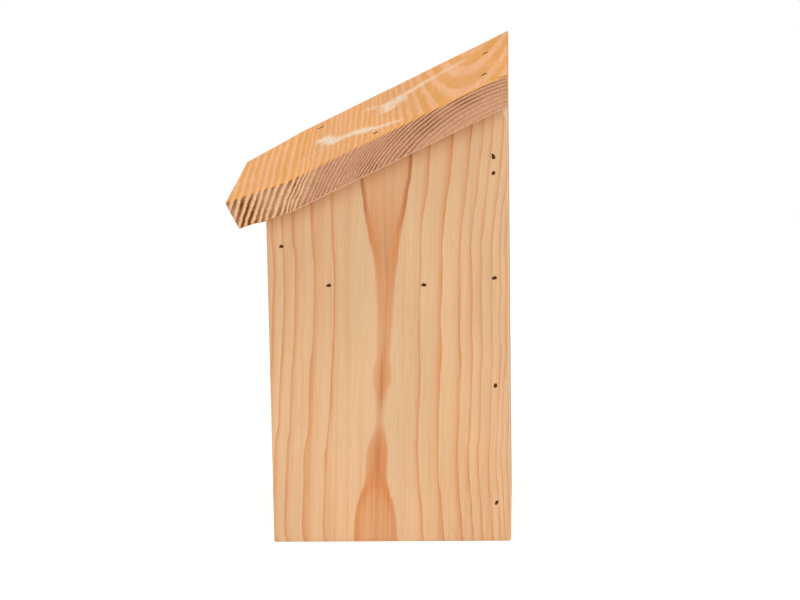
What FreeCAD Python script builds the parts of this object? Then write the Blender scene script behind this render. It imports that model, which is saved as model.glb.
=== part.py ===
# A bee hotel: a nailed softwood box with a pitched roof, its nest chamber filled with bamboo canes.
# Millimetres, +Z up, the open front towards -Y, the origin on the ground under the middle of the part.
import FreeCAD, Part
import itertools
import math
import os

import Sketcher
from FreeCAD import Placement, Rotation, Vector

SIZES = {
    # The box: every board but the roof is planed to one thickness.
    "wall_thickness": 18,
    "body_width": 140,
    "side_depth": 150,
    "front_height": 208,
    "shelf_height": 157.8,
    "board_arris": 0.6,
    "side_corner": 1.6,
    # The roof: one slightly thicker board, cut plumb and flush at the back.
    "roof_pitch": 25.8,
    "roof_thickness": 19,
    "roof_side_overhang": 12,
    "roof_front_overhang": 16,
    "roof_bevel_length": 17,
    "roof_bevel_height": 3.5,
    "roof_arris": 1.6,
    # The hole in the back that the box hangs by.
    "hanging_hole_diameter": 10,
    "hanging_hole_drop": 44,
    # The brads, which are shot a little below the surface.
    "brad_length": 40,
    "brad_width": 1.6,
    "brad_gauge": 1.4,
    "brad_head_width": 2.9,
    "brad_head_height": 1.2,
    "brad_point": 3,
    "brad_sink": 1.2,
    "brad_fit": 0.05,
    "back_brad_low": 25.4,
    "back_brad_middle": 101.7,
    "back_brad_high": 170.7,
    "back_brad_upper_drop": 43.4,
    "back_brad_top_drop": 33,
    "shelf_brad_front": 38,
    "shelf_brad_rear": 97,
    "roof_brad_right_setback": 68.6,
    "roof_brad_right_inset": 4.2,
    "roof_brad_left_setback": 27,
    "roof_brad_left_inset": 10.3,
    "roof_brad_rear_cover": 3.5,
    "roof_brad_rear_right_inset": 5.2,
    "roof_brad_rear_left_inset": 17.9,
    "floor_brad_spacing": 56,
    # The canes, in four outside diameters, each with its own bore, all scaled to fill the chamber.
    "cane_length": 116,
    "cane_septum": 5,
    "cane_gap": 0.15,
    "wide_cane_diameter": 26.5,
    "wide_cane_bore": 10.5,
    "large_cane_diameter": 23.3,
    "large_cane_bore": 9.5,
    "medium_cane_diameter": 20.1,
    "medium_cane_bore": 8.2,
    "small_cane_diameter": 14.8,
    "small_cane_bore": 6.6,
}
# An edge within this distance of a plane lies on it.
TOUCHING = 0.01
# The play allowed when a cane's seat is tested, and the scales tried for the canes' widths.
SLACK = 0.0015
SCALE_RANGE = (0.4, 2.5)
SCALE_STEP = 0.001

doc = FreeCAD.newDocument("bee_hotel")
sheet = doc.addObject("Spreadsheet::Sheet", "sizes")
for row, (alias, value) in enumerate(SIZES.items(), start=1):
    sheet.set(f"A{row}", str(value))
    sheet.setAlias(f"A{row}", alias)
doc.recompute()


def worked_out(expression):
    """The value that an expression of the driving dimensions has now."""
    return float(sheet.evalExpression(expression.replace("sizes.", "")))


# Places that several pieces share, as expressions of the driving dimensions.
ROOF_REACH = "(sizes.roof_front_overhang + sizes.roof_thickness * sin(sizes.roof_pitch))"
ROUNDED_OFF = "(sizes.roof_arris * (sin(sizes.roof_pitch) + cos(sizes.roof_pitch) - 1))"
FRONT = f"(({ROOF_REACH} - {ROUNDED_OFF} - sizes.side_depth) / 2)"
REAR = f"({FRONT} + sizes.side_depth)"
BACK_INNER = f"({REAR} - sizes.wall_thickness)"
HALF_WIDTH = "(sizes.body_width / 2)"
INNER_WIDTH = "(sizes.body_width - 2 * sizes.wall_thickness)"
HALF_INNER = f"({INNER_WIDTH} / 2)"
REAR_HEIGHT = "(sizes.front_height + sizes.side_depth * tan(sizes.roof_pitch))"
SHELF_TOP = "(sizes.shelf_height + sizes.wall_thickness)"
MID_WALL = "(sizes.wall_thickness / 2)"


def under_roof(y):
    """Height of the roof's underside at y."""
    return f"(sizes.front_height + ({y} - {FRONT}) * tan(sizes.roof_pitch))"


def over_roof(y):
    """Height of the roof's upper face at y."""
    return f"({under_roof(y)} + sizes.roof_thickness / cos(sizes.roof_pitch))"


# Sketches and boards

def sketch_on(body, role, name):
    """A sketch of a body's own, on one of its origin planes."""
    sketch = body.newObject("Sketcher::SketchObject", name)
    plane = next(feature for feature in body.Origin.OriginFeatures if feature.Role == role)
    sketch.AttachmentSupport = (plane, [""])
    sketch.MapMode = "FlatFace"
    return sketch


def draw_outline(sketch, corners):
    """Closes a line through corners, each held by its two distances from the sketch's origin."""
    points = [Vector(worked_out(across), worked_out(up), 0) for across, up in corners]
    lines = []
    for start, end in zip(points, points[1:] + points[:1]):
        lines.append(sketch.addGeometry(Part.LineSegment(start, end), False))
    for line, following in zip(lines, lines[1:] + lines[:1]):
        sketch.addConstraint(Sketcher.Constraint("Coincident", line, 2, following, 1))
    for line, point, corner in zip(lines, points, corners):
        for kind, distance, expression in zip(("DistanceX", "DistanceY"), point, corner):
            held = sketch.addConstraint(Sketcher.Constraint(kind, -1, 1, line, 1, distance))
            sketch.setExpression(f"Constraints[{held}]", expression)


def board(name, corners, start, length):
    """A board with the profile (y, z) through corners, running along X from start."""
    body = doc.addObject("PartDesign::Body", name)
    sketch = sketch_on(body, "YZ_Plane", name + "_profile")
    sketch.setExpression("AttachmentOffset.Base.z", start)
    draw_outline(sketch, corners)
    pad = body.newObject("PartDesign::Pad", name + "_length")
    pad.Profile = sketch
    pad.setExpression("Length", length)
    doc.recompute()
    return body


def ease(body, feature, size, chosen):
    """Takes off the arrises that chosen picks by the middle and the direction of each edge."""
    base = body.Tip
    names = []
    for number, edge in enumerate(base.Shape.Edges, start=1):
        direction = edge.Vertexes[-1].Point - edge.Vertexes[0].Point
        if chosen(edge.CenterOfMass, direction.normalize()):
            names.append(f"Edge{number}")
    eased = body.newObject("PartDesign::" + feature, f"{body.Name}_{feature.lower()}")
    eased.Base = (base, names)
    eased.setExpression("Radius" if feature == "Fillet" else "Size", size)
    doc.recompute()


def is_upright(middle, direction):
    """An arris that runs up a board."""
    return abs(direction.z) > abs(direction.x) + abs(direction.y)


def is_crosswise(direction):
    """Whether an edge runs from side to side."""
    return abs(direction.x) > abs(direction.y) + abs(direction.z)


def is_low_rear_corner(middle, direction):
    """The lower rear corner of a side board, which runs across its thickness."""
    return is_crosswise(direction) and middle.z < TOUCHING and middle.y > 0


def is_front_arris(middle, direction):
    """A crosswise arris at the front of a board."""
    return is_crosswise(direction) and middle.y < worked_out(FRONT) + worked_out(MID_WALL)


SIDE_PROFILE = [
    (FRONT, "0"),
    (REAR, "0"),
    (REAR, REAR_HEIGHT),
    (FRONT, "sizes.front_height"),
]
right_blank = board("right_side_blank", SIDE_PROFILE, HALF_INNER, "sizes.wall_thickness")
left_blank = board("left_side_blank", SIDE_PROFILE, f"-{HALF_WIDTH}", "sizes.wall_thickness")
for blank in (right_blank, left_blank):
    ease(blank, "Fillet", "sizes.side_corner", is_low_rear_corner)
    ease(blank, "Chamfer", "sizes.board_arris", is_upright)

BACK_PROFILE = [
    (BACK_INNER, "0"),
    (REAR, "0"),
    (REAR, REAR_HEIGHT),
    (BACK_INNER, under_roof(BACK_INNER)),
]
back_blank = board("back_board_blank", BACK_PROFILE, f"-{HALF_INNER}", INNER_WIDTH)
hole_sketch = sketch_on(back_blank, "XZ_Plane", "hanging_hole_sketch")
hole_height = f"{REAR_HEIGHT} - sizes.hanging_hole_drop"
hole_radius = worked_out("sizes.hanging_hole_diameter / 2")
hole_centre = Vector(0, worked_out(hole_height), 0)
circle = hole_sketch.addGeometry(Part.Circle(hole_centre, Vector(0, 0, 1), hole_radius), False)
hole_sketch.addConstraint(Sketcher.Constraint("PointOnObject", circle, 3, -2))
held_height = hole_sketch.addConstraint(Sketcher.Constraint("DistanceY", -1, 1, circle, 3, hole_centre.y))
hole_sketch.setExpression(f"Constraints[{held_height}]", hole_height)
held_size = hole_sketch.addConstraint(Sketcher.Constraint("Diameter", circle, 2 * hole_radius))
hole_sketch.setExpression(f"Constraints[{held_size}]", "sizes.hanging_hole_diameter")
hanging_hole = back_blank.newObject("PartDesign::Pocket", "hanging_hole")
hanging_hole.Profile = hole_sketch
hanging_hole.Type = "ThroughAll"
hanging_hole.SideType = "Symmetric"
doc.recompute()

FLOOR_PROFILE = [
    (FRONT, "0"),
    (BACK_INNER, "0"),
    (BACK_INNER, "sizes.wall_thickness"),
    (FRONT, "sizes.wall_thickness"),
]
floor_blank = board("floor_board_blank", FLOOR_PROFILE, f"-{HALF_INNER}", INNER_WIDTH)
ease(floor_blank, "Chamfer", "sizes.board_arris", is_front_arris)

SHELF_PROFILE = [
    (FRONT, "sizes.shelf_height"),
    (BACK_INNER, "sizes.shelf_height"),
    (BACK_INNER, SHELF_TOP),
    (FRONT, SHELF_TOP),
]
shelf_blank = board("shelf_blank", SHELF_PROFILE, f"-{HALF_INNER}", INNER_WIDTH)
ease(shelf_blank, "Chamfer", "sizes.board_arris", is_front_arris)

FASCIA_INNER = f"({FRONT} + sizes.wall_thickness)"
FASCIA_PROFILE = [
    (FRONT, SHELF_TOP),
    (FASCIA_INNER, SHELF_TOP),
    (FASCIA_INNER, under_roof(FASCIA_INNER)),
    (FRONT, "sizes.front_height"),
]
fascia_blank = board("fascia_blank", FASCIA_PROFILE, f"-{HALF_INNER}", INNER_WIDTH)

# The roof: its front is square to the slope, its lower front arris is planed off to a long shallow bevel.
EAVE = f"({FRONT} - sizes.roof_front_overhang)"
BEVEL_END = f"({EAVE} + sizes.roof_bevel_length * cos(sizes.roof_pitch))"
BEVEL_START_Y = f"({EAVE} - sizes.roof_bevel_height * sin(sizes.roof_pitch))"
BEVEL_START_Z = f"({under_roof(EAVE)} + sizes.roof_bevel_height * cos(sizes.roof_pitch))"
ROOF_FRONT = f"({FRONT} - {ROOF_REACH})"
ROOF_PROFILE = [
    (BEVEL_START_Y, BEVEL_START_Z),
    (BEVEL_END, under_roof(BEVEL_END)),
    (REAR, REAR_HEIGHT),
    (REAR, over_roof(REAR)),
    (ROOF_FRONT, over_roof(ROOF_FRONT)),
]
roof_half = f"({HALF_WIDTH} + sizes.roof_side_overhang)"
roof_blank = board("roof_board_blank", ROOF_PROFILE, f"-{roof_half}", f"2 * {roof_half}")


def is_eave_arris(middle, direction):
    """The upper front arris of the roof, its foremost edge."""
    return middle.y < worked_out(ROOF_FRONT) + TOUCHING


ease(roof_blank, "Fillet", "sizes.roof_arris", is_eave_arris)


# Brads

def brad(name, fit, rise):
    """A brad, head up, its head's top at the origin. With a fit and a rise, the hole for it."""
    body = doc.addObject("PartDesign::Body", name)
    sketch = sketch_on(body, "XZ_Plane", name + "_outline")
    head = f"(sizes.brad_head_width / 2 + {fit})"
    shank = f"(sizes.brad_width / 2 + {fit})"
    neck = f"(-sizes.brad_head_height - {fit})"
    shoulder = "(sizes.brad_point - sizes.brad_length)"
    right_half = [
        (head, rise),
        (head, neck),
        (shank, neck),
        (shank, shoulder),
    ]
    tip = ("0", f"(-sizes.brad_length - {fit})")
    left_half = [(f"-{across}", up) for across, up in reversed(right_half)]
    draw_outline(sketch, right_half + [tip] + left_half)
    pad = body.newObject("PartDesign::Pad", name + "_wire")
    pad.Profile = sketch
    pad.SideType = "Symmetric"
    pad.setExpression("Length", f"sizes.brad_gauge + 2 * {fit}")
    doc.recompute()
    return body


brad_master = brad("brad_master", "0", "0")
brad_hole = brad("brad_hole", "sizes.brad_fit", "(sizes.brad_sink + sizes.brad_head_width)")


def facing(out, turn):
    """Head towards out, its long side turned by an angle in degrees from level, or from X on the roof."""
    level = Vector(0, 1, 0) if out.x else Vector(1, 0, 0)
    upright = Rotation(level, Vector(), out, "ZXY")
    return upright.multiply(Rotation(Vector(0, 0, 1), turn))


def place_copy(source, label, spot, rotation):
    """A copy of a source piece, whose place follows three expressions."""
    copy = doc.addObject("App::Link", label)
    copy.LinkedObject = source
    copy.Placement = Placement(Vector(*(worked_out(expression) for expression in spot)), rotation)
    for axis, expression in zip("xyz", spot):
        copy.setExpression(f"Placement.Base.{axis}", expression)
    return copy


def drive(group, number, spot, rotation):
    """One brad and its hole, at the same place."""
    label = f"{group}_{number}"
    return (
        place_copy(brad_master, label, spot, rotation),
        place_copy(brad_hole, label + "_hole", spot, rotation),
    )


UPPER_BRAD = f"({REAR_HEIGHT} - sizes.back_brad_upper_drop)"
TOP_BRAD = f"({REAR_HEIGHT} - sizes.back_brad_top_drop)"
BACK_LINE = f"({REAR} - {MID_WALL})"
SHELF_LINE = f"(sizes.shelf_height + {MID_WALL})"
FASCIA_LINE = f"(({SHELF_TOP} + sizes.front_height) / 2)"
# Along the side: the board behind, the distance back, the height, and the turn of the head.
SIDE_BRADS = [
    ("back", BACK_LINE, "sizes.back_brad_low", 62),
    ("back", BACK_LINE, "sizes.back_brad_middle", 84),
    ("back", BACK_LINE, "sizes.back_brad_high", 20),
    ("back", BACK_LINE, UPPER_BRAD, 70),
    ("back", BACK_LINE, TOP_BRAD, 110),
    ("shelf", f"({FRONT} + sizes.shelf_brad_front)", SHELF_LINE, 4),
    ("shelf", f"({FRONT} + sizes.shelf_brad_rear)", SHELF_LINE, -6),
    ("fascia", f"({FRONT} + {MID_WALL})", FASCIA_LINE, 12),
]
HEAD_OUT = f"({HALF_WIDTH} - sizes.brad_sink)"
brads = {"right_side_brads": [], "left_side_brads": [], "roof_brads": [], "floor_brads": []}
holes = {"right_side": [], "left_side": [], "back": [], "shelf": [], "fascia": [], "floor": [], "roof": []}

for side, sign in (("right_side", 1), ("left_side", -1)):
    for number, (target, y, z, turn) in enumerate(SIDE_BRADS, start=1):
        spot = (f"{sign} * {HEAD_OUT}", y, z)
        nail, hole = drive(side + "_brad", number, spot, facing(Vector(sign, 0, 0), turn))
        brads[side + "_brads"].append(nail)
        holes[side].append(hole)
        holes[target].append(hole)

REAR_ROOF_LINE = f"({BACK_INNER} + sizes.roof_brad_rear_cover)"
RIGHT_ROOF_BRAD = (
    f"({HALF_WIDTH} - sizes.roof_brad_right_inset)",
    f"({FRONT} + sizes.roof_brad_right_setback)",
)
LEFT_ROOF_BRAD = (
    f"(sizes.roof_brad_left_inset - {HALF_WIDTH})",
    f"({FRONT} + sizes.roof_brad_left_setback)",
)
# In the roof, driven plumb: the board below, the place across, the distance back, and the turn of the head.
ROOF_BRADS = [
    ("right_side", *RIGHT_ROOF_BRAD, 30),
    ("left_side", *LEFT_ROOF_BRAD, 55),
    ("back", f"({HALF_INNER} - sizes.roof_brad_rear_right_inset)", REAR_ROOF_LINE, 15),
    ("back", f"(sizes.roof_brad_rear_left_inset - {HALF_INNER})", REAR_ROOF_LINE, -20),
]
for number, (target, x, y, turn) in enumerate(ROOF_BRADS, start=1):
    spot = (x, y, f"{over_roof(y)} - sizes.brad_sink")
    nail, hole = drive("roof_brad", number, spot, facing(Vector(0, 0, 1), turn))
    brads["roof_brads"].append(nail)
    holes["roof"].append(hole)
    holes[target].append(hole)

for number, sign in enumerate((1, -1), start=1):
    spot = (f"{sign} * sizes.floor_brad_spacing / 2", f"{REAR} - sizes.brad_sink", MID_WALL)
    nail, hole = drive("floor_brad", number, spot, facing(Vector(0, 1, 0), 90))
    brads["floor_brads"].append(nail)
    holes["back"].append(hole)
    holes["floor"].append(hole)

subparts = []


def keep(piece, label):
    """Names a finished sub-part."""
    piece.Label = label
    subparts.append(piece)


def nail_up(label, blank, brad_holes):
    """A finished board: its blank less the holes that the brads make in it."""
    tool = doc.addObject("Part::Compound", label + "_holes")
    tool.Links = brad_holes
    cut = doc.addObject("Part::Cut", label)
    cut.Base = blank
    cut.Tool = tool
    keep(cut, label)


nail_up("right_side", right_blank, holes["right_side"])
nail_up("left_side", left_blank, holes["left_side"])
nail_up("back_board", back_blank, holes["back"])
nail_up("floor_board", floor_blank, holes["floor"])
nail_up("shelf", shelf_blank, holes["shelf"])
nail_up("fascia", fascia_blank, holes["fascia"])
nail_up("roof_board", roof_blank, holes["roof"])
for label, nails in brads.items():
    group = doc.addObject("Part::Compound", label)
    group.Links = nails
    keep(group, label)


# Canes

def cane(kind):
    """A length of bamboo, mouth at the origin, cut behind a node so that a septum closes its rear."""
    name = kind + "_cane"
    body = doc.addObject("PartDesign::Body", name)
    sketch = sketch_on(body, "YZ_Plane", name + "_section")
    outside = f"(sizes.{kind}_cane_diameter * sizes.cane_fill / 2)"
    bore = f"(sizes.{kind}_cane_bore * sizes.cane_fill / 2)"
    bore_end = "(sizes.cane_length - sizes.cane_septum)"
    section = [
        ("0", bore),
        ("0", outside),
        ("sizes.cane_length", outside),
        ("sizes.cane_length", "0"),
        (bore_end, "0"),
        (bore_end, bore),
    ]
    draw_outline(sketch, section)
    turned = body.newObject("PartDesign::Revolution", name + "_tube")
    turned.Profile = sketch
    turned.ReferenceAxis = (sketch, ["H_Axis"])
    turned.Angle = 360
    doc.recompute()
    return body


def meeting_points(first, second):
    """The points at given distances from two centres: each argument is (x, z, distance)."""
    (x1, z1, far1), (x2, z2, far2) = first, second
    dx, dz = x2 - x1, z2 - z1
    apart = math.hypot(dx, dz)
    along = (far1 ** 2 - far2 ** 2 + apart ** 2) / (2 * apart)
    off_squared = far1 ** 2 - along ** 2
    if off_squared < 0:
        return []
    off = math.sqrt(off_squared)
    foot_x, foot_z = x1 + along * dx / apart, z1 + along * dz / apart
    return [
        (foot_x - off * dz / apart, foot_z + off * dx / apart),
        (foot_x + off * dz / apart, foot_z - off * dx / apart),
    ]


def lowest_seat(radius, laid, chamber, gap):
    """The lowest place where a cane touches two of the walls, the floor and the canes laid so far."""
    half, floor, ceiling = chamber
    reach = half - radius - gap
    low, high = floor + radius + gap, ceiling - radius - gap
    rings = [(x, z, radius + other + gap) for x, z, other in laid]
    seats = [(-reach, low), (reach, low)]
    for x, z, far in rings:
        if abs(low - z) <= far:
            off = math.sqrt(far ** 2 - (low - z) ** 2)
            seats += [(x - off, low), (x + off, low)]
        for wall in (-reach, reach):
            if abs(wall - x) <= far:
                seats.append((wall, z + math.sqrt(far ** 2 - (wall - x) ** 2)))
    for first, second in itertools.combinations(rings, 2):
        seats += meeting_points(first, second)
    free = []
    for x, z in seats:
        inside = abs(x) <= reach + SLACK and low - SLACK <= z <= high + SLACK
        if inside and all(math.hypot(x - cx, z - cz) >= far - SLACK for cx, cz, far in rings):
            free.append((z, x))
    return min(free, default=None)


def lay_canes(fill):
    """The middle and radius of each cane, laid one by one, or None where one of them finds no seat."""
    laid = []
    for kind in LAYING_ORDER:
        radius = fill * radii[kind]
        seat = lowest_seat(radius, laid, chamber, gap)
        if seat is None:
            return None
        z, x = seat
        laid.append((x, z, radius))
    return laid


LAYING_ORDER = [
    "wide", "large", "small", "large", "small", "wide", "medium", "large", "small", "large",
    "wide", "wide", "large", "wide", "wide", "small", "small", "medium", "medium", "medium",
    "large", "medium", "large", "wide", "wide", "wide", "large", "small",
]
kinds = list(dict.fromkeys(LAYING_ORDER))
radii = {kind: worked_out(f"sizes.{kind}_cane_diameter / 2") for kind in kinds}
chamber = (worked_out(HALF_INNER), worked_out("sizes.wall_thickness"), worked_out("sizes.shelf_height"))
gap = worked_out("sizes.cane_gap")

# The canes are as thick as the chamber lets them be: at the largest scale, the last still finds a seat.
scale, too_thick = SCALE_RANGE
while too_thick - scale > SCALE_STEP:
    middle = (scale + too_thick) / 2
    if lay_canes(middle) is None:
        too_thick = middle
    else:
        scale = middle
fill_cell = f"A{len(SIZES) + 1}"
sheet.set(fill_cell, str(scale))
sheet.setAlias(fill_cell, "cane_fill")
doc.recompute()

masters = {kind: cane(kind) for kind in kinds}
mouth = f"{BACK_INNER} - sizes.cane_length"
for number, (kind, (x, z, radius)) in enumerate(zip(LAYING_ORDER, lay_canes(scale)), start=1):
    label = f"cane_{number:02d}"
    copy = doc.addObject("App::Link", label)
    copy.LinkedObject = masters[kind]
    copy.Placement = Placement(Vector(x, worked_out(mouth), z), Rotation())
    copy.setExpression("Placement.Base.y", mouth)
    keep(copy, label)

doc.recompute()
failed = [item.Label for item in doc.Objects if "Invalid" in item.State or "Error" in item.State]
if failed:
    raise RuntimeError(f"features that failed: {failed}")
shapes = {piece.Label: Part.getShape(piece) for piece in subparts}
for label, shape in shapes.items():
    if shape.isNull() or not shape.isValid() or not shape.Solids:
        raise RuntimeError(f"{label} is not a valid solid")

os.makedirs("parts", exist_ok=True)
for label, shape in shapes.items():
    shape.exportStep(f"parts/{label}.step")
print(len(shapes), "sub-parts, canes scaled by", round(scale, 3))
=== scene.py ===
import bmesh
import bpy
import itertools
import math
import random
from mathutils import Euler, Matrix, Vector


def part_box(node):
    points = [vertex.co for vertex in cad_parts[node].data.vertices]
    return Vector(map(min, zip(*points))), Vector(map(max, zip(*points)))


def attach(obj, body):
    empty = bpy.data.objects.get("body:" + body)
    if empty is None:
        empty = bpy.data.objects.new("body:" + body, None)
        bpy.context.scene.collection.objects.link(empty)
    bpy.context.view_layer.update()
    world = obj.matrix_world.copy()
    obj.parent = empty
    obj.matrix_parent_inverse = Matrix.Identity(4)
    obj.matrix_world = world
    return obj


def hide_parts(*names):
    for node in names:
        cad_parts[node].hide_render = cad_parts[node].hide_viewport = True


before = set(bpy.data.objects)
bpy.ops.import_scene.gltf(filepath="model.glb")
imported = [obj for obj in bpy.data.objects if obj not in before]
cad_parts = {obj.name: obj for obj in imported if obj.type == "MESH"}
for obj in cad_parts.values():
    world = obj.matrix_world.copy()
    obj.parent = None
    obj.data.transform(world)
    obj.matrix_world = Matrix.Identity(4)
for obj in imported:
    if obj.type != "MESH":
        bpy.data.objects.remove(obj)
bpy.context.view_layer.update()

# The two side boards are planed flat-sawn pine with upright grain, glued and nailed over the edges of
# the back, the shelf and the fascia. Their tops are sawn to the slope that the roof lies on, their
# arrises are just broken, and the lower rear corner is rounded off a little more.
ROOF_PITCH = math.radians(25.8)
FRONT_HEIGHT = 0.208
BROKEN_ARRIS = 0.0006
WORN_CORNER = 0.0016
GRID_PITCH = 0.009
PLANING_DEPTH = 0.00025
PLANING_LENGTH = 0.03
SHARP_EDGE = math.radians(35)
SMOOTH_EDGE = math.radians(40)
RIGHTWARD = Vector((1, 0, 0))
BACKWARD = Vector((0, 1, 0))
UPWARD = Vector((0, 0, 1))
UP_THE_ROOF = Vector((0, math.cos(ROOF_PITCH), math.sin(ROOF_PITCH)))
OFF_THE_ROOF = Vector((0, -math.sin(ROOF_PITCH), math.cos(ROOF_PITCH)))
front_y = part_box("right_side")[0].y
rear_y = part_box("right_side")[1].y
roof_seat = Vector((0, front_y, FRONT_HEIGHT))


def saw_blank(name, low, high):
    """A board sawn to its box, open in edit mode."""
    bpy.ops.object.select_all(action="DESELECT")
    bpy.ops.mesh.primitive_cube_add(size=1, location=(low + high) / 2, scale=high - low)
    board = bpy.context.object
    board.name = name
    board.data.name = name
    bpy.ops.object.transform_apply()
    bpy.ops.object.mode_set(mode="EDIT")
    return board


def saw_off(point, outwards):
    """Cuts a board along a plane and drops what lies beyond it."""
    bpy.ops.mesh.select_all(action="SELECT")
    bpy.ops.mesh.bisect(plane_co=point, plane_no=outwards, use_fill=True, clear_outer=True, threshold=1e-6)


def pick_edges(piece, chosen):
    """Selects the edges that chosen says, by the middle and the direction of each."""
    bpy.ops.mesh.select_mode(type="EDGE")
    bpy.ops.mesh.select_all(action="DESELECT")
    mesh = bmesh.from_edit_mesh(piece.data)
    for edge in mesh.edges:
        first, second = (corner.co for corner in edge.verts)
        if chosen((first + second) / 2, (second - first).normalized()):
            edge.select_set(True)
    bmesh.update_edit_mesh(piece.data)


def break_arrises():
    """Takes the sharpness off the edges of a board that are still sharp, with a small round."""
    bpy.ops.mesh.select_mode(type="EDGE")
    bpy.ops.mesh.select_all(action="DESELECT")
    bpy.ops.mesh.edges_select_sharp(sharpness=SHARP_EDGE)
    bpy.ops.mesh.bevel(offset=BROKEN_ARRIS, segments=2, affect="EDGES")


def divide(board, ways):
    """Lays a grid over a board's faces along the given ways, so that they can be dented."""
    bpy.ops.object.mode_set(mode="OBJECT")
    spans = []
    for way in ways:
        reaches = [corner.co.dot(way) for corner in board.data.vertices]
        spans.append((min(reaches), max(reaches)))
    bpy.ops.object.mode_set(mode="EDIT")
    for way, (start, end) in zip(ways, spans):
        cells = math.ceil((end - start) / GRID_PITCH)
        for cell in range(1, cells):
            reach = start + (end - start) * cell / cells
            bpy.ops.mesh.select_all(action="SELECT")
            bpy.ops.mesh.bisect(plane_co=way * reach, plane_no=way, threshold=1e-6)
    bpy.ops.mesh.select_all(action="SELECT")
    bpy.ops.mesh.subdivide(number_cuts=2)


def dent(board, depth, size):
    """Ends a board's edit mode, and lets its faces and arrises run slightly uneven, as planed wood does."""
    bpy.ops.object.mode_set(mode="OBJECT")
    unevenness = bpy.data.textures.new(board.name + "_unevenness", "CLOUDS")
    unevenness.noise_scale = size
    modifier = board.modifiers.new("unevenness", "DISPLACE")
    modifier.texture = unevenness
    modifier.texture_coords = "LOCAL"
    modifier.strength = depth
    bpy.ops.object.modifier_apply(modifier=modifier.name)


def tone(red, green, blue):
    """A colour read off as 0 to 255, as the shader wants it."""
    channels = [channel / 255 for channel in (red, green, blue)]
    return [c / 12.92 if c <= 0.04045 else ((c + 0.055) / 1.055) ** 2.4 for c in channels] + [1]


def bare_material(name):
    """A new material, its nodes and its shader."""
    material = bpy.data.materials.new(name)
    material.use_nodes = True
    return material, material.node_tree, material.node_tree.nodes["Principled BSDF"]


def node(tree, kind, feeds=None, **settings):
    """A shader node, whose inputs take values or the outputs of other nodes."""
    made = tree.nodes.new("ShaderNode" + kind)
    for setting, value in settings.items():
        setattr(made, setting, value)
    for socket, value in (feeds or {}).items():
        if isinstance(value, bpy.types.NodeSocket):
            tree.links.new(value, made.inputs[socket])
        else:
            made.inputs[socket].default_value = value
    return made


def maths(tree, operation, *values):
    """One sum of numbers or outputs."""
    return node(tree, "Math", dict(enumerate(values)), operation=operation).outputs["Value"]


def vectors(tree, operation, *values):
    """One sum of vectors."""
    return node(tree, "VectorMath", dict(enumerate(values)), operation=operation).outputs["Vector"]


def measure(tree, operation, *values):
    """One number got from vectors."""
    return node(tree, "VectorMath", dict(enumerate(values)), operation=operation).outputs["Value"]


def scaled(tree, vector, size):
    """A vector or colour times a number."""
    return node(tree, "VectorMath", {0: vector, "Scale": size}, operation="SCALE").outputs["Vector"]


def ranged(tree, value, start, end, low, high):
    """A value eased from one range into another."""
    feeds = {"Value": value, "From Min": start, "From Max": end, "To Min": low, "To Max": high}
    return node(tree, "MapRange", feeds, interpolation_type="SMOOTHSTEP").outputs["Result"]


def blend(tree, amount, first, second):
    """One colour over another by an amount."""
    return node(tree, "Mix", {0: amount, 6: first, 7: second}, data_type="RGBA").outputs[2]


def ramp(tree, value, stops):
    """A level that runs through stops of (place, level)."""
    made = node(tree, "ValToRGB", {"Fac": value})
    elements = made.color_ramp.elements
    while len(elements) < len(stops):
        elements.new(1)
    for element, (place, level) in zip(elements, stops):
        element.position = place
        element.color = (level, level, level, 1)
    return made.outputs["Color"]


def curved(tree, value, points):
    """A value put through a smooth curve of (from, to) points."""
    start, end = points[0][0], points[-1][0]
    low = min(level for spot, level in points)
    high = max(level for spot, level in points)
    share = maths(tree, "DIVIDE", maths(tree, "SUBTRACT", value, start), end - start)
    curve = node(tree, "FloatCurve", {"Value": share})
    line = curve.mapping.curves[0]
    spots = [((spot - start) / (end - start), (level - low) / (high - low)) for spot, level in points]
    line.points[0].location = spots[0]
    line.points[1].location = spots[-1]
    for spot in spots[1:-1]:
        line.points.new(*spot)
    curve.mapping.update()
    return maths(tree, "MULTIPLY_ADD", curve.outputs["Value"], high - low, low)


def speckle(tree, place, across, along, detail):
    """A noise whose grains are 1/across wide and 1/along long."""
    stretched = vectors(tree, "MULTIPLY", place, (across, across, along))
    return node(tree, "TexNoise", {"Vector": stretched, "Scale": 1, "Detail": detail})


def wander(tree, noise, deep, wide):
    """A shift of the rings in the board's depth and across it, by up to about half of each amount."""
    centred = vectors(tree, "SUBTRACT", noise.outputs["Color"], (0.5, 0.5, 0.5))
    return vectors(tree, "MULTIPLY", centred, (deep, wide, 0))


# A year's ring across its width: pale early wood that darkens to late wood, then stops short.
YEAR_RING = [
    (0, 0), (0.45, 0.06), (0.72, 0.24), (0.84, 0.52), (0.925, 0.7), (0.965, 1), (0.985, 0.92), (1, 0),
]
LEAST_VIGOUR = 0.6

# What the darker core of a log keeps of each colour on its ends, and of the light on its faces.
HEARTWOOD_TINT = (0.79, 0.69, 0.71)
HEARTWOOD_LIGHT = 0.94
HEARTWOOD_EDGE = 2

# The grain of each marking of the timber: its specks per mm across and along the log, and its detail.
DRIFT_GRAIN = (0.016, 0.006, 2)
RIPPLE_GRAIN = (0.10, 0.026, 3)
FEATHER_GRAIN = (0.55, 0.02, 2)
PATCH_GRAIN = (0.06, 0.012, 2)
THREAD_GRAIN = (0.45, 0.011, 2)
FIBRE_GRAIN = (1.3, 0.022, 3)
STREAK_GRAIN = (0.25, 0.005, 2)
CLOUD_GRAIN = (0.03, 0.009, 2)
RESIN_GRAIN = (1.8, 0.07, 1)
PORE_GRAIN = (2.6, 0.2, 2)

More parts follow.
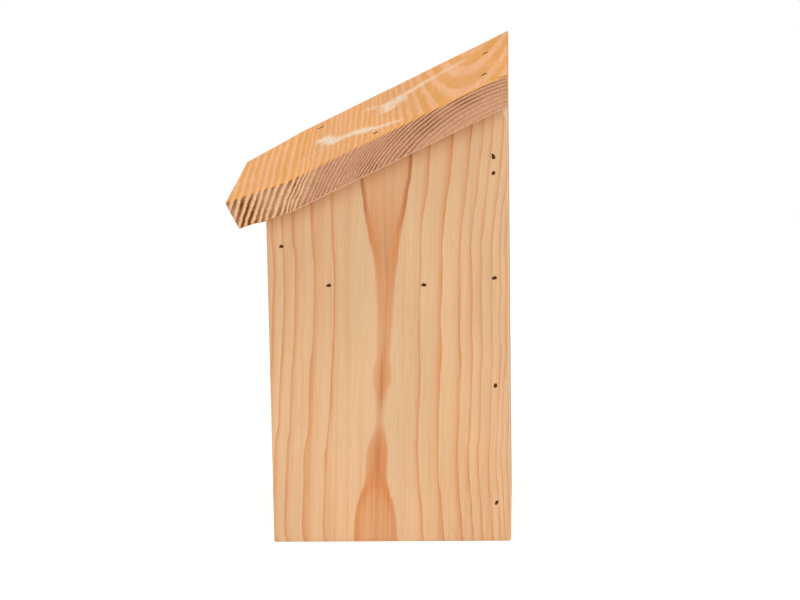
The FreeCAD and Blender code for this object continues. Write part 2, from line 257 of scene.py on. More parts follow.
# What a marking does to the colour: between two levels of its noise, a share runs from one to another.
PATCH_SHARE = (0.3, 0.7, 0.66, 1.04)
THREAD_SHARE = (0.38, 0.66, 0.85, 1.28)
MIDDLE_SHARE = (0.35, 0.65, 0.3, 1.2)
STREAK_SHARE = (0.45, 0.8, 0, 0.3)
RESIN_SHARE = (0.66, 0.78, 0, 0.4)
FIBRE_LIGHT = (0.25, 0.75, 0.95, 1.05)
CLOUD_LIGHT = (0.3, 0.7, 0.96, 1.04)
PORE_LIGHT = (0.25, 0.75, 0.7, 1.24)

# How far in mm the rings ripple and feather, where a fan starts and is full, and how wide a thread is.
RIPPLE_WIDTH = 2.9
FEATHER_WIDTH = 1.5
FAN_REACH = (14, 28)
THREAD_REACH = (2.8, 0.3)

# The ages at which a flame has its rim and its inside, at which it ends, and between which resin gathers.
FLAME_RIM = -0.012
FLAME_INSIDE = -0.075
FLAME_END = (0.1, 0.4)
FLAME_RESIN = (-0.07, -0.025)

# How far a face must turn along the grain to show the cut ends of the fibres, and their sharper contrast.
END_FACING = (0.82, 0.96)
END_CONTRAST = 1.5

# Late wood is glossier than early wood and stands proud of it. Cut ends are rougher, with open pores.
EARLY_ROUGHNESS = 0.64
LATE_GLOSS = -0.14
END_ROUGHNESS = 0.15
LATE_RELIEF = 0.35
PORE_RELIEF = 1.2
FIBRE_BUMP = {"Strength": 0.35, "Distance": 0.00025}


def pine(name, grain, turn, heart, growth, tones, end_tones, drift,
         swell=None, sway=None, fan=None, plain=None, lopsided=0, strength=None, ring=YEAR_RING,
         heartwood=None, end_strength=None, flame=None, seed=0):
    """Solid softwood: year rings round the tree's heart, which every face of the board cuts as it lies.
    The turn lays the log upright, the heart is a point on its middle line in mm, and growth gives the
    age at certain radii. A swell makes the log fuller in places, a sway moves its middle line across the
    board, and a fan moves the rings to one side of it. A plain stretch or a lopsided log has wider rings
    to one side, and strength says how dark the late wood of each age is, on the ends times end_strength.
    Rings younger than heartwood are the log's darker core. A flame is where the face runs into a year's
    late wood: four curves along the board say how dark its rim and its inside are, how much resin has
    gathered in the rim, and how strong the threads up its middle are."""
    material, tree, shader = bare_material(name)
    surface = node(tree, "TexCoord")
    centre = Euler(turn).to_matrix() @ Vector(heart)
    lay = {"Location": -centre, "Rotation": turn, "Scale": (1000, 1000, 1000)}
    place = node(tree, "Mapping", {"Vector": surface.outputs["Object"], **lay}).outputs["Vector"]

    deep, wide = drift
    drifting = wander(tree, speckle(tree, place, *DRIFT_GRAIN), deep, wide)
    rippling = wander(tree, speckle(tree, place, *RIPPLE_GRAIN), deep / 8, RIPPLE_WIDTH)
    feathering = wander(tree, speckle(tree, place, *FEATHER_GRAIN), 0, FEATHER_WIDTH)
    fine_bends = vectors(tree, "ADD", rippling, feathering)
    bent = vectors(tree, "ADD", vectors(tree, "ADD", place, drifting), fine_bends)
    split = node(tree, "SeparateXYZ", {"Vector": bent})
    depth, across, along = (split.outputs[axis] for axis in "XYZ")
    if sway:
        across = maths(tree, "SUBTRACT", across, curved(tree, along, sway))
    if fan:
        fanned = maths(tree, "MULTIPLY", ranged(tree, across, *FAN_REACH, 0, 1), curved(tree, along, fan))
        across = maths(tree, "SUBTRACT", across, fanned)
    if plain:
        start, end, width = plain
        across = maths(tree, "ADD", across, ranged(tree, across, end, start, width, 0))
    radius = measure(tree, "LENGTH", node(tree, "CombineXYZ", {0: depth, 1: across}).outputs["Vector"])
    if lopsided:
        radius = maths(tree, "MULTIPLY_ADD", across, lopsided, radius)
    age = curved(tree, radius, growth)
    if swell:
        age = maths(tree, "SUBTRACT", age, curved(tree, along, swell))
    year = maths(tree, "ADD", maths(tree, "FLOOR", age), seed)
    vigour = node(tree, "TexWhiteNoise", {"W": year}, noise_dimensions="1D").outputs["Value"]
    vigour = maths(tree, "MULTIPLY_ADD", vigour, 1 - LEAST_VIGOUR, LEAST_VIGOUR)
    if strength:
        vigour = curved(tree, age, strength)
    late = ramp(tree, maths(tree, "FRACT", age), ring)
    patchy = ranged(tree, speckle(tree, place, *PATCH_GRAIN).outputs["Fac"], *PATCH_SHARE)
    season = maths(tree, "MULTIPLY", late, maths(tree, "MULTIPLY", vigour, patchy))
    if flame:
        rim, inside, pitch, thread = (curved(tree, along, share) for share in flame)
        threads = speckle(tree, place, *THREAD_GRAIN).outputs["Fac"]
        inside = maths(tree, "MULTIPLY", inside, ranged(tree, threads, *THREAD_SHARE))
        shade = ranged(tree, age, FLAME_RIM, FLAME_INSIDE, rim, inside)
        season = maths(tree, "MULTIPLY", season, ranged(tree, age, *FLAME_END, shade, 1))

    fibre = speckle(tree, place, *FIBRE_GRAIN).outputs["Fac"]
    streak = speckle(tree, place, *STREAK_GRAIN).outputs["Fac"]
    cloud = speckle(tree, place, *CLOUD_GRAIN).outputs["Fac"]
    resin = ranged(tree, speckle(tree, place, *RESIN_GRAIN).outputs["Fac"], *RESIN_SHARE)
    early_tone, late_tone, resin_tone = tones
    face = blend(tree, season, early_tone, late_tone)
    face = blend(tree, ranged(tree, streak, *STREAK_SHARE), face, late_tone)
    face = blend(tree, resin, face, resin_tone)
    if flame:
        in_flame = ranged(tree, age, 0, FLAME_RIM, 0, 1)
        in_rim = maths(tree, "MULTIPLY", in_flame, ranged(tree, age, *FLAME_RESIN, 0, 1))
        in_middle = ranged(tree, maths(tree, "ABSOLUTE", across), *THREAD_REACH, 0, thread)
        in_middle = maths(tree, "MULTIPLY", in_middle, ranged(tree, threads, *MIDDLE_SHARE))
        resinous = maths(tree, "MAXIMUM", maths(tree, "MULTIPLY", in_rim, pitch), in_middle)
        face = blend(tree, resinous, face, resin_tone)
    fine_light = ranged(tree, fibre, *FIBRE_LIGHT)
    face = scaled(tree, face, maths(tree, "MULTIPLY", fine_light, ranged(tree, cloud, *CLOUD_LIGHT)))

    pores = speckle(tree, place, *PORE_GRAIN).outputs["Fac"]
    end_early, end_late = end_tones
    end_season = maths(tree, "POWER", season, END_CONTRAST)
    if end_strength:
        end_season = maths(tree, "MULTIPLY", end_season, curved(tree, age, end_strength))
    end = blend(tree, end_season, end_early, end_late)
    end = scaled(tree, end, ranged(tree, pores, *PORE_LIGHT))
    if heartwood:
        inner, outer = heartwood - HEARTWOOD_EDGE, heartwood + HEARTWOOD_EDGE
        face = scaled(tree, face, ranged(tree, age, inner, outer, HEARTWOOD_LIGHT, 1))
        core = vectors(tree, "MULTIPLY", end, HEARTWOOD_TINT)
        end = blend(tree, ranged(tree, age, inner, heartwood, 1, 0), end, core)
    facing = maths(tree, "ABSOLUTE", measure(tree, "DOT_PRODUCT", surface.outputs["Normal"], grain))
    is_end = ranged(tree, facing, *END_FACING, 0, 1)
    tree.links.new(blend(tree, is_end, face, end), shader.inputs["Base Color"])

    rough = maths(tree, "MULTIPLY_ADD", season, LATE_GLOSS, EARLY_ROUGHNESS)
    rough = maths(tree, "MULTIPLY_ADD", is_end, END_ROUGHNESS, rough)
    tree.links.new(rough, shader.inputs["Roughness"])
    relief = maths(tree, "MULTIPLY_ADD", season, LATE_RELIEF, fibre)
    relief = maths(tree, "MULTIPLY_ADD", maths(tree, "MULTIPLY", pores, is_end), PORE_RELIEF, relief)
    bump = node(tree, "Bump", {**FIBRE_BUMP, "Height": relief})
    tree.links.new(bump.outputs["Normal"], shader.inputs["Normal"])
    return material


def finish_board(board, node_name):
    """Smooths a board's rounds and puts it in the place of its CAD node."""
    bpy.ops.object.select_all(action="DESELECT")
    board.select_set(True)
    bpy.context.view_layer.objects.active = board
    bpy.ops.object.shade_smooth_by_angle(angle=SMOOTH_EDGE)
    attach(board, "root")
    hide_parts(node_name)


def side_board(node_name, chip=None):
    """A side board: sawn to the slope, its lower rear corner rounded, its arrises broken."""
    low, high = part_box(node_name)
    board = saw_blank(node_name + "_wood", low, high)
    saw_off(roof_seat, OFF_THE_ROOF)
    if chip:
        first, second, third = (high - Vector(corner) for corner in chip)
        saw_off(first, (second - first).cross(third - first).normalized())
    pick_edges(board, lambda middle, way: abs(way.x) > 0.9 and middle.z < BROKEN_ARRIS and middle.y > 0)
    bpy.ops.mesh.bevel(offset=WORN_CORNER, segments=4, affect="EDGES")
    break_arrises()
    divide(board, (RIGHTWARD, BACKWARD, UPWARD))
    dent(board, PLANING_DEPTH, PLANING_LENGTH)
    return board


# A brad's head ends below the face, in a torn oblong recess that flares towards the surface. Its walls are
# coloured dark brown: painted shade in the hole, over a speckle of fibre.
RECESS_LENGTH = 0.0031
RECESS_WIDTH = 0.0021
RECESS_FLOOR = -0.0003
RECESS_TOP = 0.0057
RECESS_FLARE = 1.12
RECESS_RAGGEDNESS = 0.22
RECESS_SIDES = 12
RECESS_GRAIN = (1800, 400, 2)
RECESS_SHADE_TONES = (tone(70, 40, 16), tone(156, 106, 58))
BRAD_LENGTH = 0.0029
bpy.ops.object.select_all(action="DESELECT")
bpy.ops.mesh.primitive_cylinder_add(
    vertices=RECESS_SIDES,
    radius=0.5,
    depth=1,
    location=(0, 0, (RECESS_TOP + RECESS_FLOOR) / 2),
    scale=(RECESS_LENGTH, RECESS_WIDTH, RECESS_TOP - RECESS_FLOOR),
)
recess_punch = bpy.context.object
recess_punch.name = "recess_punch"
bpy.ops.object.transform_apply()
bpy.ops.object.mode_set(mode="EDIT")
pick_edges(recess_punch, lambda middle, way: middle.z > RECESS_TOP - BROKEN_ARRIS)
bpy.ops.transform.resize(value=(RECESS_FLARE, RECESS_FLARE, 1), center_override=(0, 0, 0))
bpy.ops.object.mode_set(mode="OBJECT")
# The recess walls' material: dark brown tones as painted shade inside the hole, speckled like torn fibre.
recess_painted_shade, recess_tree, recess_shader = bare_material("brad_recess_painted_shade")
recess_place = node(recess_tree, "TexCoord").outputs["Object"]
recess_fibre = speckle(recess_tree, recess_place, *RECESS_GRAIN).outputs["Fac"]
recess_shade_colour = blend(recess_tree, recess_fibre, *RECESS_SHADE_TONES)
recess_tree.links.new(recess_shade_colour, recess_shader.inputs["Base Color"])
recess_shader.inputs["Roughness"].default_value = 0.85
recess_shader.inputs["Specular IOR Level"].default_value = 0.1
recess_punch.data.materials.append(recess_painted_shade)


def brad_heads(node_name, out):
    """The middle of each brad's head and the way its long side lies, read from the CAD node."""
    brads = []
    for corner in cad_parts[node_name].data.vertices:
        flat = corner.co - out * corner.co.dot(out)
        near = next((brad for brad in brads if (brad[0][0] - flat).length < BRAD_LENGTH * 1.3), None)
        if near is None:
            near = []
            brads.append(near)
        near.append((flat, corner.co.copy()))
    heads = []
    for brad in brads:
        top = max(spot.dot(out) for flat, spot in brad)
        corners = [spot for flat, spot in brad if spot.dot(out) > top - BROKEN_ARRIS / 10]
        pairs = list(itertools.combinations(corners, 2))
        far = max(pairs, key=lambda pair: (pair[1] - pair[0]).length)
        long_side = min(pairs, key=lambda pair: abs((pair[1] - pair[0]).length - BRAD_LENGTH))
        heads.append(((far[0] + far[1]) / 2, (long_side[1] - long_side[0]).normalized()))
    return heads


def recess_brads(board, node_name, out, seed, tear=(1, 1)):
    """Cuts the recess over each brad of a group into a board, torn open along and across the brad's head."""
    chance = random.Random(seed)
    recesses = []
    for middle, long_way in brad_heads(node_name, out):
        recess = recess_punch.copy()
        recess.data = recess_punch.data.copy()
        corners = list(recess.data.vertices)
        for low_corner, rim_corner in zip(corners[::2], corners[1::2]):
            reach = 1 + chance.uniform(-RECESS_RAGGEDNESS, RECESS_RAGGEDNESS)
            for corner in (low_corner, rim_corner):
                corner.co = corner.co * Vector((tear[0] * reach, tear[1] * reach, 1))
        turned = Matrix((long_way, out.cross(long_way), out)).transposed().to_4x4()
        recess.data.transform(Matrix.Translation(middle) @ turned)
        bpy.context.collection.objects.link(recess)
        recesses.append(recess)
    bpy.ops.object.select_all(action="DESELECT")
    for recess in recesses:
        recess.select_set(True)
    bpy.context.view_layer.objects.active = recesses[0]
    bpy.ops.object.join()
    cut_out(board, recesses[0])


def cut_out(board, tool):
    """Takes a tool's shape out of a board, whose cut walls keep the tool's material."""
    bpy.ops.object.select_all(action="DESELECT")
    bpy.context.view_layer.objects.active = board
    modifier = board.modifiers.new("cut", "BOOLEAN")
    modifier.operation = "DIFFERENCE"
    modifier.solver = "EXACT"
    modifier.material_mode = "TRANSFER"
    modifier.object = tool
    bpy.ops.object.modifier_apply(modifier=modifier.name)
    bpy.data.objects.remove(tool)


PALE_TONES = (tone(238, 194, 147), tone(221, 137, 72), tone(192, 116, 66))
PALE_END_TONES = (tone(216, 168, 122), tone(178, 120, 74))
# On the right side the rings lie as the photograph shows them. Up its middle stands one flame, where the
# face runs a little way into a year's late wood: deep at the foot and the top, hardly at all between.
# Growth is by mm from the heart, strength is by age, and the other curves are by mm up from the foot.
RIGHT_GROWTH = [
    (26, -1.2), (28.5, -0.12), (29.2, -0.04), (30, 0), (31, 0.05), (32, 0.1), (33.3, 0.16), (34.4, 0.26),
    (36, 0.66), (37, 1), (45.5, 2), (55, 3), (61, 4), (66.5, 5), (72.5, 6), (77, 7), (80, 8), (105, 15),
]
RIGHT_SWELL = [
    (-20, 0.16), (1, 0.147), (12, 0.138), (22, 0.119), (33, 0.069), (45, 0.042), (57, 0.043), (69, 0.024),
    (80, 0.011), (95, 0.02), (110, 0.034), (121, 0.022), (148, 0.028), (167, 0.034), (181, 0.05),
    (195, 0.082), (224, 0.16), (240, 0.2), (285, 0.25),
]
RIGHT_SWAY = [
    (0, -0.8), (45, -2.2), (75, -0.6), (105, 0.2), (135, 1.6), (170, 2), (195, 0.8), (225, 0), (285, -0.5),
]
RIGHT_FAN = [
    (-5, 8.5), (20, 7.5), (45, 5.5), (80, 3.5), (120, 2.5), (160, 0.3), (190, 0.5), (235, 3.5), (285, 6),
]
RIGHT_LEAN = 0.0375
RIGHT_HEART = (40, 2.4, 0)
RIGHT_PLAIN = (-14, -32, 10.5)
RIGHT_RIM = [
    (-20, 0.88), (30, 0.85), (60, 0.72), (100, 0.72), (150, 0.72), (190, 0.8), (220, 1.05), (285, 1.15),
]
RIGHT_PITCH = [(-20, 0), (180, 0), (200, 0.15), (222, 0.75), (245, 0.85), (285, 0.85)]
RIGHT_THREAD = [
    (-20, 0), (40, 0.1), (58, 0.5), (80, 0.2), (100, 0.6), (135, 0.2), (165, 0.2), (183, 0.55),
    (215, 0.15), (285, 0),
]
RIGHT_CORE = [(-20, 0.92), (45, 0.9), (90, 0.85), (150, 0.8), (195, 0.85), (220, 0.66), (285, 0.5)]
RIGHT_STRENGTH = [(-2, 1.08), (0, 1.08), (1, 1), (3, 1), (5, 0.9), (9, 0.85), (15, 0.85)]
# Its top rear corner is chipped: three places on the break, as distances from that corner.
RIGHT_CHIP = ((0, 0.0046, 0), (0, 0, 0.014), (0.003, 0, 0))
# The chip's facet is coloured pale: partly the torn fibre, partly a painted highlight of light from behind
# that reaches under the roof there.
CHIP_GRAIN = (900, 120, 2)
CHIP_TORN_AND_LIT_TONES = (tone(236, 196, 148), tone(255, 232, 196))
CHIP_FACING = 0.95
right_side = side_board("right_side", RIGHT_CHIP)
right_side.data.materials.append(pine(
    "right_side_pine",
    grain=UPWARD,
    turn=(RIGHT_LEAN, 0, 0),
    heart=RIGHT_HEART,
    growth=RIGHT_GROWTH,
    tones=PALE_TONES,
    end_tones=PALE_END_TONES,
    drift=(0, 3),
    swell=RIGHT_SWELL,
    sway=RIGHT_SWAY,
    fan=RIGHT_FAN,
    plain=RIGHT_PLAIN,
    strength=RIGHT_STRENGTH,
    flame=(RIGHT_RIM, RIGHT_CORE, RIGHT_PITCH, RIGHT_THREAD),
))
# A pale material for the chip's facet: torn fibre with a painted highlight.
chip_torn_and_lit, chip_tree, chip_shader = bare_material("chip_torn_and_lit")
chip_place = node(chip_tree, "TexCoord").outputs["Object"]
chip_fibre = speckle(chip_tree, chip_place, *CHIP_GRAIN).outputs["Fac"]
chip_torn_and_lit_colour = blend(chip_tree, chip_fibre, *CHIP_TORN_AND_LIT_TONES)
chip_tree.links.new(chip_torn_and_lit_colour, chip_shader.inputs["Base Color"])
chip_shader.inputs["Roughness"].default_value = 0.8
right_side.data.materials.append(chip_torn_and_lit)
chip_first, chip_second, chip_third = (-Vector(corner) for corner in RIGHT_CHIP)
chip_out = (chip_second - chip_first).cross(chip_third - chip_first).normalized()
for face in right_side.data.polygons:
    if face.normal.dot(chip_out) > CHIP_FACING:
        face.material_index = 1
recess_brads(right_side, "right_side_brads", out=RIGHTWARD, seed=3)
finish_board(right_side, "right_side")

EVEN_GROWTH = [(0, 0), (200, 46)]
left_side = side_board("left_side")
left_side.data.materials.append(pine(
    "left_side_pine",
    grain=UPWARD,
    turn=(-0.02, 0.03, 0),
    heart=(-6, 30, 0),
    growth=EVEN_GROWTH,
    tones=PALE_TONES,
    end_tones=PALE_END_TONES,
    drift=(9, 9),
    seed=11,
))
recess_brads(left_side, "left_side_brads", out=-RIGHTWARD, seed=5)
finish_board(left_side, "left_side")

# The back board stands between the sides, of the same planed pine with upright grain, and is flush with
# their rear edges. A hole is drilled through it near the top, to hang the box on a screw in a wall.
HOLE_RADIUS = 0.005
HOLE_DROP = 0.044
HOLE_SPLINTER = 0.0005
HOLE_FLARE = 1.3
HOLE_SIDES = 48
back_low, back_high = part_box("back_board")
back = saw_blank("back_board_wood", back_low, back_high)
saw_off(roof_seat, OFF_THE_ROOF)
break_arrises()
divide(back, (RIGHTWARD, BACKWARD, UPWARD))
dent(back, PLANING_DEPTH, PLANING_LENGTH)
back.data.materials.append(pine(
    "back_board_pine",
    grain=UPWARD,
    turn=(0.015, -0.02, 0),
    heart=(14, 30, 0),
    growth=EVEN_GROWTH,
    tones=PALE_TONES,
    end_tones=PALE_END_TONES,
    drift=(7, 7),
    seed=23,
))

back_thickness = back_high.y - back_low.y
hole_middle = (0, (back_low.y + back_high.y) / 2, back_high.z - HOLE_DROP)
bpy.ops.object.select_all(action="DESELECT")
bpy.ops.mesh.primitive_cylinder_add(
    vertices=HOLE_SIDES,
    radius=HOLE_RADIUS,
    depth=back_thickness - 2 * HOLE_SPLINTER,
    location=hole_middle,
    rotation=(math.pi / 2, 0, 0),
)
hole_drill = bpy.context.object
hole_drill.name = "hole_drill"
bpy.ops.object.transform_apply()
bpy.ops.object.mode_set(mode="EDIT")
for out in (1, -1):
    rim_y = hole_middle[1] + out * (back_thickness / 2 - HOLE_SPLINTER)
    bpy.ops.mesh.select_mode(type="FACE")
    bpy.ops.mesh.select_all(action="DESELECT")
    drill_mesh = bmesh.from_edit_mesh(hole_drill.data)
    for face in drill_mesh.faces:
        if face.normal.y * out > 0.9:
            face.select_set(True)
    bmesh.update_edit_mesh(hole_drill.data)
    bpy.ops.mesh.extrude_region_move(TRANSFORM_OT_translate={"value": (0, out * 4 * HOLE_SPLINTER, 0)})
    bpy.ops.transform.resize(value=(HOLE_FLARE, 1, HOLE_FLARE), center_override=(0, rim_y, hole_middle[2]))
bpy.ops.object.mode_set(mode="OBJECT")
hole_drill.data.materials.append(back.data.materials[0])
cut_out(back, hole_drill)
recess_brads(back, "floor_brads", out=BACKWARD, seed=7)
finish_board(back, "back_board")

# The floor and the shelf lie between the sides with their grain across the box: planed pine again, the
# floor nailed through the back and the shelf through both sides. Between them is the nest chamber.
LAID_ACROSS = -math.pi / 2


def cross_board(node_name, sloped, heart, lean, seed):
    """A board that lies across the box, with the rings round its own heart."""
    low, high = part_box(node_name)
    board = saw_blank(node_name + "_wood", low, high)
    if sloped:
        saw_off(roof_seat, OFF_THE_ROOF)
    break_arrises()
    divide(board, (RIGHTWARD, BACKWARD, UPWARD))
    dent(board, PLANING_DEPTH, PLANING_LENGTH)
    board.data.materials.append(pine(
        node_name + "_pine",
        grain=RIGHTWARD,
        turn=(0, LAID_ACROSS + lean, 0),
        heart=heart,
        growth=EVEN_GROWTH,
        tones=PALE_TONES,
        end_tones=PALE_END_TONES,
        drift=(6, 6),
        seed=seed,
    ))
    finish_board(board, node_name)


cross_board("floor_board", sloped=False, heart=(0, -20, -52), lean=0.02, seed=31)
cross_board("shelf", sloped=False, heart=(0, 25, 108), lean=-0.015, seed=37)

# The fascia is a short board on the shelf, flush with the front and sawn to the slope. It is planed pine
# with its grain across, nailed through the sides, and closes the space under the roof.
cross_board("fascia", sloped=True, heart=(0, -22, 168), lean=0.03, seed=41)

# The canes are dried bamboo, sawn to length just behind a node, so that its wall closes the rear end. They
# are laid into the chamber one on another, mouths to the front, and held at the back with glue.
CANE_BORES = {0.0265: 0.0105, 0.0233: 0.0095, 0.0201: 0.0082, 0.0148: 0.0066}
NODE_WALL = 0.005
SHRUNK = 0.985
SAWN_RIM = 0.0004
SKEW_CUT = 0.025
CANE_SIDES = 40
OVALITY = 0.012
MOUTH_RING = 0.004
BODY_RINGS = (0.03, 0.06, 0.09)
NODE_RING_START = 0.009
NODE_RING = 0.006
NODE_SWELL = 1.012
CANE_SEED = 17
canes = sorted(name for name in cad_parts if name.startswith("cane_"))
cane_low, cane_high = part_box(canes[0])
cane_length = cane_high.y - cane_low.y


def pick_faces(piece, chosen):
    """Selects the faces that chosen says, by the middle and the normal of each."""
    bpy.ops.mesh.select_mode(type="FACE")
    bpy.ops.mesh.select_all(action="DESELECT")
    mesh = bmesh.from_edit_mesh(piece.data)
    for face in mesh.faces:
        if chosen(face.calc_center_median(), face.normal):
            face.select_set(True)
    bmesh.update_edit_mesh(piece.data)


def cut_cane(diameter, bore):
    """A cane along Y with its mouth at the origin, and its own place as an attribute for its material."""
    radius = diameter / 2
    bpy.ops.object.select_all(action="DESELECT")
    bpy.ops.mesh.primitive_cylinder_add(
        vertices=CANE_SIDES,
        radius=radius,
        depth=cane_length,
        location=(0, cane_length / 2, 0),
        rotation=(math.pi / 2, 0, 0),
    )
    cane = bpy.context.object
    bpy.ops.object.transform_apply()
    bpy.ops.object.mode_set(mode="EDIT")
    pick_faces(cane, lambda middle, normal: normal.y < -0.9)
    bpy.ops.mesh.inset(thickness=radius - bore / 2)
    bpy.ops.mesh.extrude_region_move(TRANSFORM_OT_translate={"value": (0, cane_length - NODE_WALL, 0)})
    node_y = cane_length - NODE_RING
    for ring_y in (MOUTH_RING, *BODY_RINGS, cane_length - NODE_RING_START, node_y):
        bpy.ops.mesh.select_all(action="SELECT")
        bpy.ops.mesh.bisect(plane_co=(0, ring_y, 0), plane_no=BACKWARD, threshold=1e-6)
    pick_edges(cane, lambda middle, way: middle.y < SAWN_RIM and abs(way.dot(middle.normalized())) < 0.5)
    bpy.ops.mesh.bevel(offset=SAWN_RIM, segments=2, affect="EDGES")
    pick_edges(cane, lambda middle, way: abs(middle.y - node_y) < 1e-5 and middle.xz.length > 0.8 * radius)
    bpy.ops.transform.resize(value=(NODE_SWELL, 1, NODE_SWELL), center_override=(0, node_y, 0))
    bpy.ops.object.mode_set(mode="OBJECT")
    own_place = cane.data.attributes.new("cane_place", "FLOAT_VECTOR", "POINT")
    for spot, corner in zip(own_place.data, cane.data.vertices):
        spot.vector = (corner.co.x / radius, corner.co.y / radius, corner.co.z / radius)
    bpy.ops.object.shade_smooth_by_angle(angle=SMOOTH_EDGE)
    return cane


# The bamboo's sawn ends, skin and bore. Reaches are shares of the cane's radius.
CUT_TONES = (tone(204, 176, 128), tone(236, 214, 170))
BUNDLE_TONE = tone(134, 98, 56)
RIND_TONE = tone(120, 92, 44)
SKIN_TONES = (tone(176, 142, 76), tone(222, 192, 122))
BORE_TONES = (tone(178, 140, 92), tone(222, 190, 142))
BUNDLES_ACROSS = 21
BUNDLE_EDGE = (0.16, 0.36)
BUNDLE_REACH = (0.45, 0.98)
RIND_REACH = (0.945, 0.985)
SKIN_REACH = (0.7, 0.85)
CUT_FACING = (0.5, 0.85)
SKIN_STREAKS = (9, 0.5, 9)
LEAST_CANE_LIGHT = 0.82
CANE_LIGHT_SPREAD = 0.26
SKIN_ROUGHNESS = 0.42
CUT_ROUGHNESS = 0.35
CANE_BUMP = {"Strength": 0.4, "Distance": 0.0002}
bamboo, bamboo_tree, bamboo_shader = bare_material("cane_bamboo")
cane_place = node(bamboo_tree, "Attribute", attribute_name="cane_place").outputs["Vector"]
cane_tone = node(bamboo_tree, "Attribute", attribute_name="cane_tone").outputs["Fac"]
cane_split = node(bamboo_tree, "SeparateXYZ", {"Vector": cane_place})
cane_section = {0: cane_split.outputs["X"], 1: cane_split.outputs["Z"], 2: cane_tone}
cane_section = node(bamboo_tree, "CombineXYZ", cane_section).outputs["Vector"]
cane_flat = vectors(bamboo_tree, "MULTIPLY", cane_place, (1, 0, 1))
cane_reach = measure(bamboo_tree, "LENGTH", cane_flat)
bundles = {"Vector": cane_section, "Scale": BUNDLES_ACROSS, "Randomness": 0.9}
bundles = node(bamboo_tree, "TexVoronoi", bundles).outputs["Distance"]
bundle = ranged(bamboo_tree, bundles, *BUNDLE_EDGE, 1, 0)
bundle = maths(bamboo_tree, "MULTIPLY", bundle, ranged(bamboo_tree, cane_reach, *BUNDLE_REACH, 0.2, 0.75))
cut_noise = speckle(bamboo_tree, cane_section, 5, 1, 3).outputs["Fac"]
cut_colour = blend(bamboo_tree, cut_noise, *CUT_TONES)
cut_colour = blend(bamboo_tree, bundle, cut_colour, BUNDLE_TONE)
is_rind = ranged(bamboo_tree, cane_reach, *RIND_REACH, 0, 0.75)
cut_colour = blend(bamboo_tree, is_rind, cut_colour, RIND_TONE)
skin_streak = node(bamboo_tree, "TexNoise", {
    "Vector": vectors(bamboo_tree, "MULTIPLY", cane_place, SKIN_STREAKS),
    "Scale": 1,
    "Detail": 3,
}).outputs["Fac"]
skin_colour = blend(bamboo_tree, skin_streak, *SKIN_TONES)
bore_colour = blend(bamboo_tree, skin_streak, *BORE_TONES)
is_skin = ranged(bamboo_tree, cane_reach, *SKIN_REACH, 0, 1)
cane_normal = node(bamboo_tree, "TexCoord").outputs["Normal"]
cane_facing = maths(bamboo_tree, "ABSOLUTE", measure(bamboo_tree, "DOT_PRODUCT", cane_normal, BACKWARD))
is_cut = ranged(bamboo_tree, cane_facing, *CUT_FACING, 0, 1)
wall_colour = blend(bamboo_tree, is_skin, bore_colour, skin_colour)
cane_colour = blend(bamboo_tree, is_cut, wall_colour, cut_colour)
cane_light = maths(bamboo_tree, "MULTIPLY_ADD", cane_tone, CANE_LIGHT_SPREAD, LEAST_CANE_LIGHT)
cane_colour = scaled(bamboo_tree, cane_colour, cane_light)
bamboo_tree.links.new(cane_colour, bamboo_shader.inputs["Base Color"])
cane_rough = maths(bamboo_tree, "MULTIPLY_ADD", is_cut, CUT_ROUGHNESS, SKIN_ROUGHNESS)
bamboo_tree.links.new(cane_rough, bamboo_shader.inputs["Roughness"])
cane_relief = maths(bamboo_tree, "ADD", maths(bamboo_tree, "MULTIPLY", bundle, is_cut), skin_streak)
cane_bump = node(bamboo_tree, "Bump", {**CANE_BUMP, "Height": cane_relief})
bamboo_tree.links.new(cane_bump.outputs["Normal"], bamboo_shader.inputs["Normal"])

cane_patterns = {diameter: cut_cane(diameter * SHRUNK, bore) for diameter, bore in CANE_BORES.items()}
cane_chance = random.Random(CANE_SEED)
for cane_name in canes:
    low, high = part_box(cane_name)
    diameter = min(CANE_BORES, key=lambda known: abs(known - (high.x - low.x)))
    pattern = cane_patterns[diameter]
    cane = pattern.copy()
    cane.data = pattern.data.copy()
    cane.name = cane_name + "_bamboo"
    cane.data.name = cane.name
    bpy.context.collection.objects.link(cane)
    skew_x = cane_chance.uniform(-SKEW_CUT, SKEW_CUT)
    skew_z = cane_chance.uniform(-SKEW_CUT, SKEW_CUT)
    for corner in cane.data.vertices:
        if corner.co.y < SAWN_RIM * 3:
            corner.co.y += SKEW_CUT * diameter / 2 + skew_x * corner.co.x + skew_z * corner.co.z
    ovality = cane_chance.uniform(-OVALITY, OVALITY)
    oval = Matrix.Diagonal((1 + ovality, 1, 1 - ovality, 1))
    roll = Matrix.Rotation(cane_chance.uniform(0, 2 * math.pi), 4, "Y")
    seat = Matrix.Translation(((low.x + high.x) / 2, low.y, (low.z + high.z) / 2))
    cane.data.transform(seat @ roll @ oval)
    own_tone = cane.data.attributes.new("cane_tone", "FLOAT", "POINT")
    own_tone.data.foreach_set("value", [cane_chance.random()] * len(cane.data.vertices))
    cane.data.materials.append(bamboo)
    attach(cane, "root")
    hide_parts(cane_name)
for pattern in cane_patterns.values():
    bpy.data.objects.remove(pattern)

